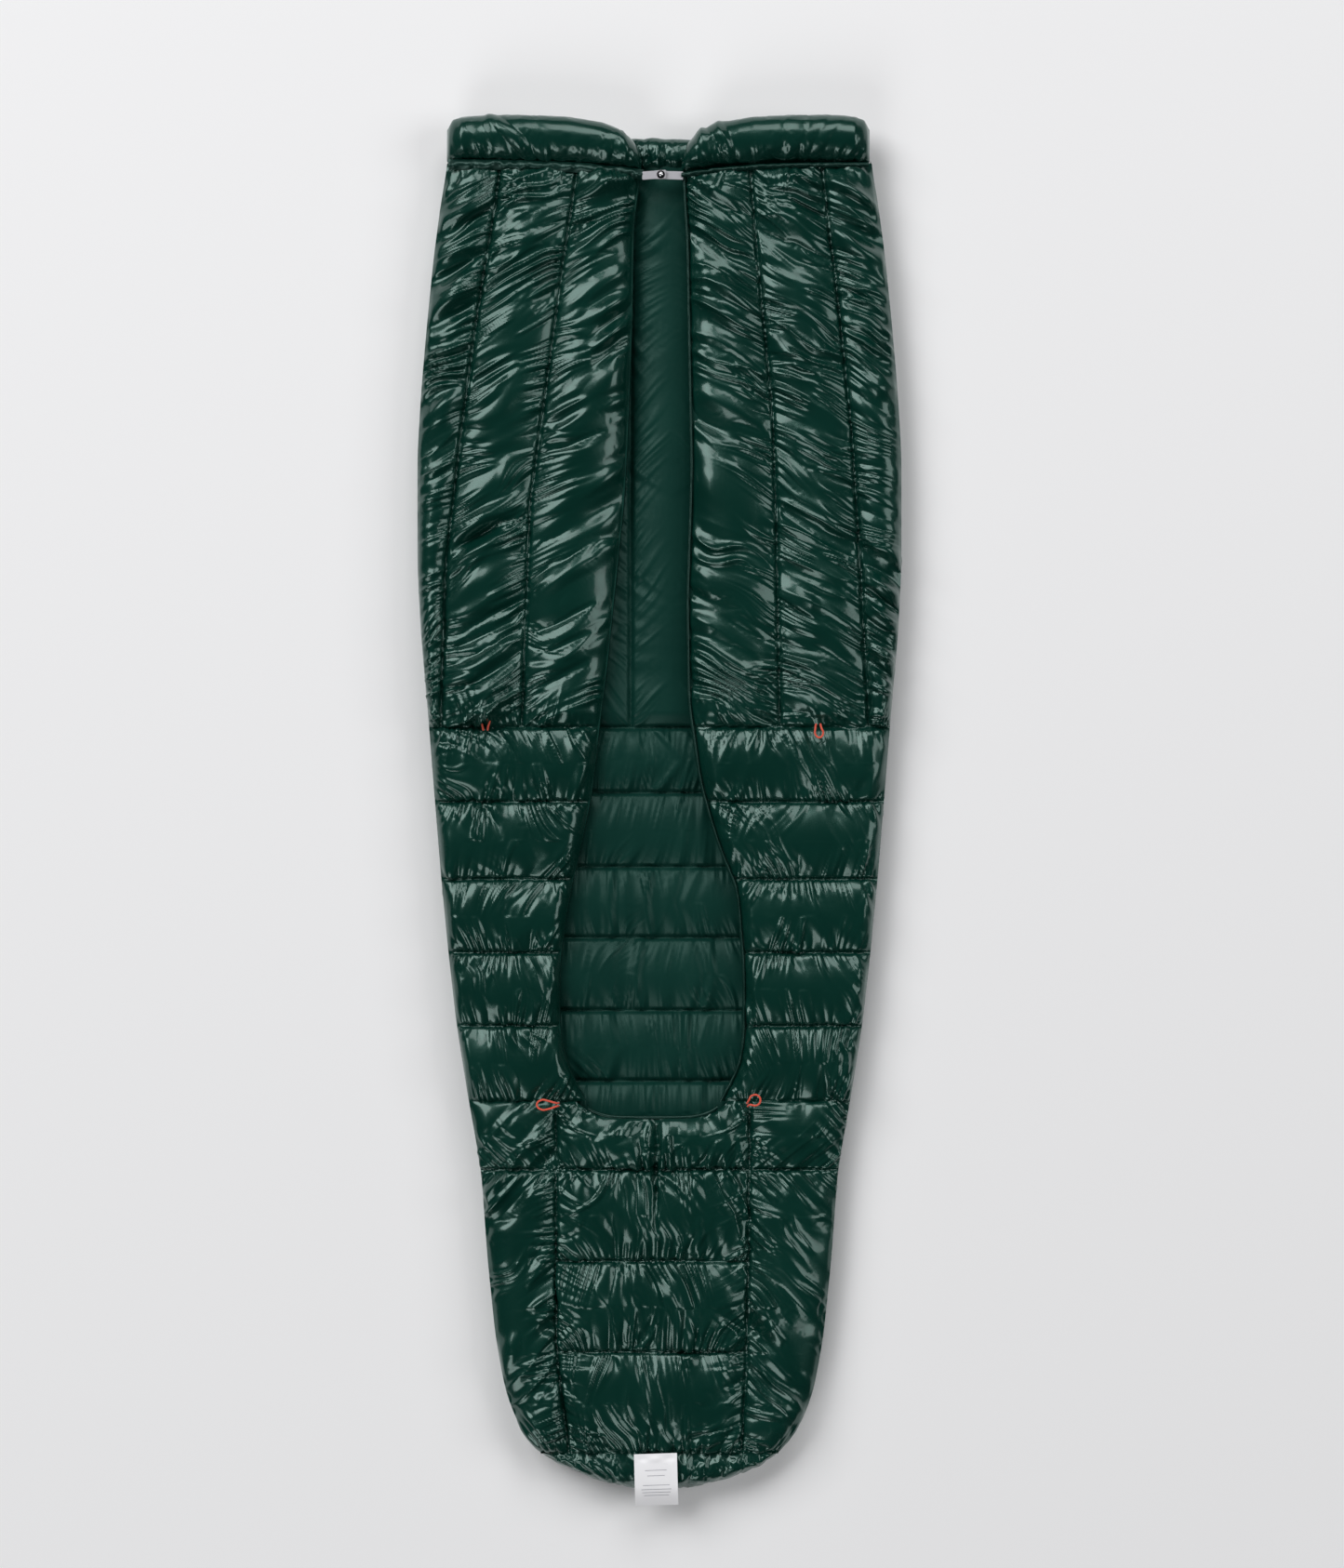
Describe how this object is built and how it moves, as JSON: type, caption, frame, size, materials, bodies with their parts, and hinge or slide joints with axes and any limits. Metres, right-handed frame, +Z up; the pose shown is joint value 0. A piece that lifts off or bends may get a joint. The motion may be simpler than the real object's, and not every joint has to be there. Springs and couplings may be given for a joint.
{
  "type": "camp quilt",
  "caption": "Full-length down camp quilt lying face down, with two fold-out back flaps, a keyhole opening, a closed foot, cord loops and a snap strap at the neck.",
  "frame": {"origin": "on the ground under the middle of the quilt's outline, care label included", "axes": "+X towards the right flap, +Y towards the collar, +Z up, out of the open back"},
  "size_m": [0.667, 1.913, 0.074],
  "materials": {
    "shell_fabric": "gloss",
    "lining_fabric": "satin",
    "down_fill": "matte",
    "binding_fabric": "satin",
    "webbing": "matte",
    "snap_metal": "polished",
    "snap_ring": "satin",
    "loop_cord": "matte",
    "label_satin": "satin"
  },
  "bodies": {
    "quilt": {"cover_shell": "shell_fabric", "side_wrap": "shell_fabric", "cover_lining": "lining_fabric", "cover_down_long_1": "down_fill", "cover_down_long_2": "down_fill", "cover_down_long_3": "down_fill", "cover_down_long_4": "down_fill", "cover_down_cross_1": "down_fill", "cover_down_cross_2": "down_fill", "cover_down_cross_3": "down_fill", "cover_down_cross_4": "down_fill", "cover_down_cross_5": "down_fill", "cover_down_cross_6": "down_fill", "cover_down_cross_7": "down_fill", "cover_down_side_left": "down_fill", "cover_down_side_right": "down_fill", "front_collar": "shell_fabric", "foot_shell": "shell_fabric", "foot_lining": "lining_fabric", "foot_down_centre_1": "down_fill", "foot_down_centre_2": "down_fill", "foot_down_centre_3": "down_fill", "foot_down_centre_4": "down_fill", "foot_down_side_left": "down_fill", "foot_down_side_right": "down_fill", "foot_end": "shell_fabric"},
    "left_flap": {"left_flap_shell": "shell_fabric", "left_flap_lining": "lining_fabric", "left_flap_down_outer": "down_fill", "left_flap_down_middle": "down_fill", "left_flap_down_inner": "down_fill", "left_flap_down_cross_1": "down_fill", "left_flap_down_cross_2": "down_fill", "left_flap_down_cross_3": "down_fill", "left_flap_down_cross_4": "down_fill", "left_flap_down_cross_5": "down_fill", "left_collar": "shell_fabric", "left_slit_roll": "binding_fabric"},
    "right_flap": {"right_flap_shell": "shell_fabric", "right_flap_lining": "lining_fabric", "right_flap_down_outer": "down_fill", "right_flap_down_middle": "down_fill", "right_flap_down_inner": "down_fill", "right_flap_down_cross_1": "down_fill", "right_flap_down_cross_2": "down_fill", "right_flap_down_cross_3": "down_fill", "right_flap_down_cross_4": "down_fill", "right_flap_down_cross_5": "down_fill", "right_collar": "shell_fabric", "right_slit_binding": "binding_fabric", "snap_tab_lower": "webbing", "snap_stud": "snap_metal"},
    "snap_tab": {"snap_tab_upper": "webbing", "snap_cap": "snap_metal", "snap_socket": "snap_ring"},
    "loop_waist_left": {"loop_waist_left": "loop_cord"},
    "loop_waist_right": {"loop_waist_right": "loop_cord"},
    "loop_foot_left": {"loop_foot_left": "loop_cord"},
    "loop_foot_right": {"loop_foot_right": "loop_cord"},
    "care_label": {"care_label": "label_satin"}
  },
  "joints": [
    {"name": "left_flap_fold", "type": "hinge", "parent": "quilt", "child": "left_flap", "pos_m": [-0.335, 0.0075, 0.034], "axis": [0, -1, 0], "range_deg": [0, 150]},
    {"name": "right_flap_fold", "type": "hinge", "parent": "quilt", "child": "right_flap", "pos_m": [0.335, 0.0075, 0.034], "axis": [0, 1, 0], "range_deg": [0, 120]},
    {"name": "snap_peel", "type": "hinge", "parent": "left_flap", "child": "snap_tab", "pos_m": [-0.0195, 0.874, 0.0568], "axis": [0, -1, 0], "range_deg": [0, 110]},
    {"name": "loop_waist_left_lift", "type": "hinge", "parent": "left_flap", "child": "loop_waist_left", "pos_m": [-0.239, 0.1145, 0.0625], "axis": [1, 0, 0], "range_deg": [0, 150]},
    {"name": "loop_waist_right_lift", "type": "hinge", "parent": "right_flap", "child": "loop_waist_right", "pos_m": [0.219, 0.1145, 0.07], "axis": [-1, 0, 0], "range_deg": [0, 150]},
    {"name": "loop_foot_left_lift", "type": "hinge", "parent": "quilt", "child": "loop_foot_left", "pos_m": [-0.142, -0.4035, 0.07], "axis": [0, 1, 0], "range_deg": [0, 150]},
    {"name": "loop_foot_right_lift", "type": "hinge", "parent": "quilt", "child": "loop_foot_right", "pos_m": [0.125, -0.4005, 0.07], "axis": [0, -1, 0], "range_deg": [0, 150]},
    {"name": "care_label_lift", "type": "hinge", "parent": "quilt", "child": "care_label", "pos_m": [-0.0055, -0.8835, 0.058], "axis": [-1, 0, 0], "range_deg": [0, 115]}
  ],
  "couplings": [
    {"joint": "right_flap_fold", "follows": "left_flap_fold", "ratio": 0.8}
  ]
}
